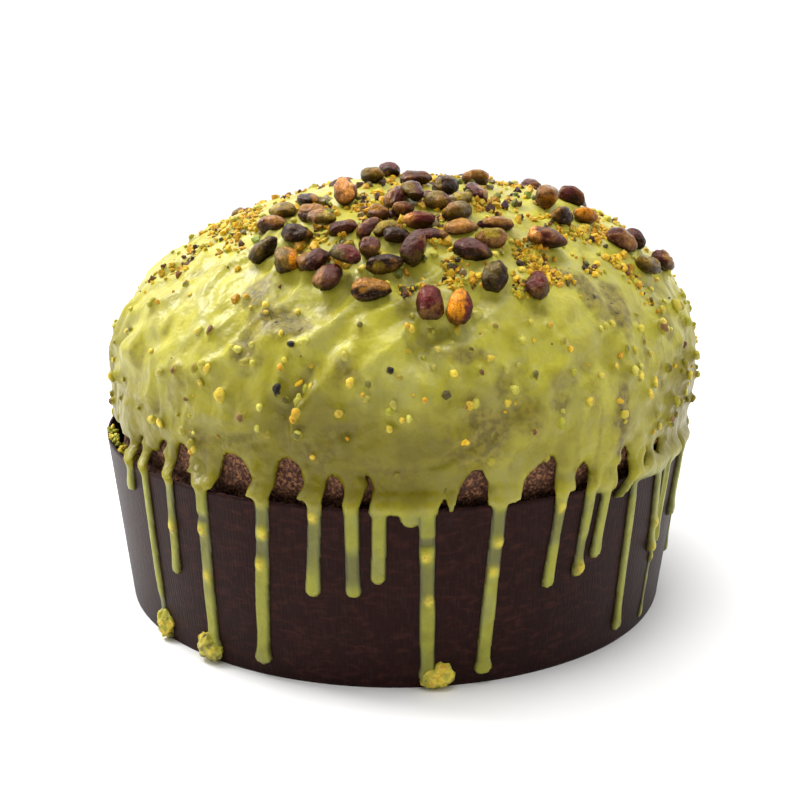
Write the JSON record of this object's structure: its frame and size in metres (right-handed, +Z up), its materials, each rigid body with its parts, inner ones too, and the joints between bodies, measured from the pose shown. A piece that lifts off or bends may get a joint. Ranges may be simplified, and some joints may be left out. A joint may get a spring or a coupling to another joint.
{
  "type": "glazed panettone",
  "caption": "Domed cocoa panettone in a low dark paper mould, poured with green pistachio glaze that drips down the wall, topped with whole pistachio kernels.",
  "frame": {"origin": "centre of the underside of the paper mould, on the surface that it stands on", "axes": "+Z up, -Y towards the side that carries most of the pistachio kernels, +X to the right seen from there"},
  "size_m": [0.2185, 0.219, 0.1565],
  "materials": {
    "mould_paper": "dark brown baking paper, slight sheen, fine vertical ribs",
    "base_paper": "dark brown baking paper, matte",
    "crumb": null,
    "glaze": null,
    "kernel_dark": "pistachio skin, nearly black purple, satin, wrinkled",
    "kernel_gold": "pistachio kernel rubbed to golden yellow, satin",
    "kernel_green": "pistachio kernel, green, satin",
    "kernel_olive": "pistachio kernel, olive with brown skin left, satin",
    "kernel_purple": "pistachio skin, purple-brown, satin, wrinkled",
    "kernel_red": "pistachio skin, red-brown, satin, wrinkled",
    "kernel_tan": "pistachio skin rubbed to tan, satin"
  },
  "bodies": {
    "root": {"mould_band": "mould_paper", "mould_base": "base_paper", "loaf": "crumb", "glaze": "glaze", "pistachio_01": "kernel_dark", "pistachio_02": "kernel_olive", "pistachio_03": "kernel_red", "pistachio_04": "kernel_tan", "pistachio_05": "kernel_purple", "pistachio_06": "kernel_green", "pistachio_07": "kernel_olive", "pistachio_08": "kernel_purple", "pistachio_09": "kernel_tan", "pistachio_10": "kernel_gold", "pistachio_11": "kernel_gold", "pistachio_12": "kernel_dark", "pistachio_13": "kernel_red", "pistachio_14": "kernel_purple", "pistachio_15": "kernel_red", "pistachio_16": "kernel_olive", "pistachio_17": "kernel_red", "pistachio_18": "kernel_red", "pistachio_19": "kernel_purple", "pistachio_20": "kernel_purple", "pistachio_21": "kernel_dark", "pistachio_22": "kernel_purple", "pistachio_23": "kernel_purple", "pistachio_24": "kernel_green", "pistachio_25": "kernel_dark", "pistachio_26": "kernel_purple", "pistachio_27": "kernel_dark", "pistachio_28": "kernel_red", "pistachio_29": "kernel_tan", "pistachio_30": "kernel_green", "pistachio_31": "kernel_tan", "pistachio_32": "kernel_gold", "pistachio_33": "kernel_red", "pistachio_34": "kernel_green", "pistachio_35": "kernel_dark", "pistachio_36": "kernel_green", "pistachio_37": "kernel_tan", "pistachio_38": "kernel_red", "pistachio_39": "kernel_red", "pistachio_40": "kernel_gold", "pistachio_41": "kernel_purple", "pistachio_42": "kernel_purple", "pistachio_43": "kernel_red", "pistachio_44": "kernel_dark", "pistachio_45": "kernel_green", "pistachio_46": "kernel_red", "pistachio_47": "kernel_red", "pistachio_48": "kernel_purple", "pistachio_49": "kernel_gold", "pistachio_50": "kernel_purple", "pistachio_51": "kernel_olive", "pistachio_52": "kernel_purple", "pistachio_53": "kernel_olive", "pistachio_54": "kernel_red", "pistachio_55": "kernel_dark", "pistachio_56": "kernel_tan"}
  },
  "joints": []
}
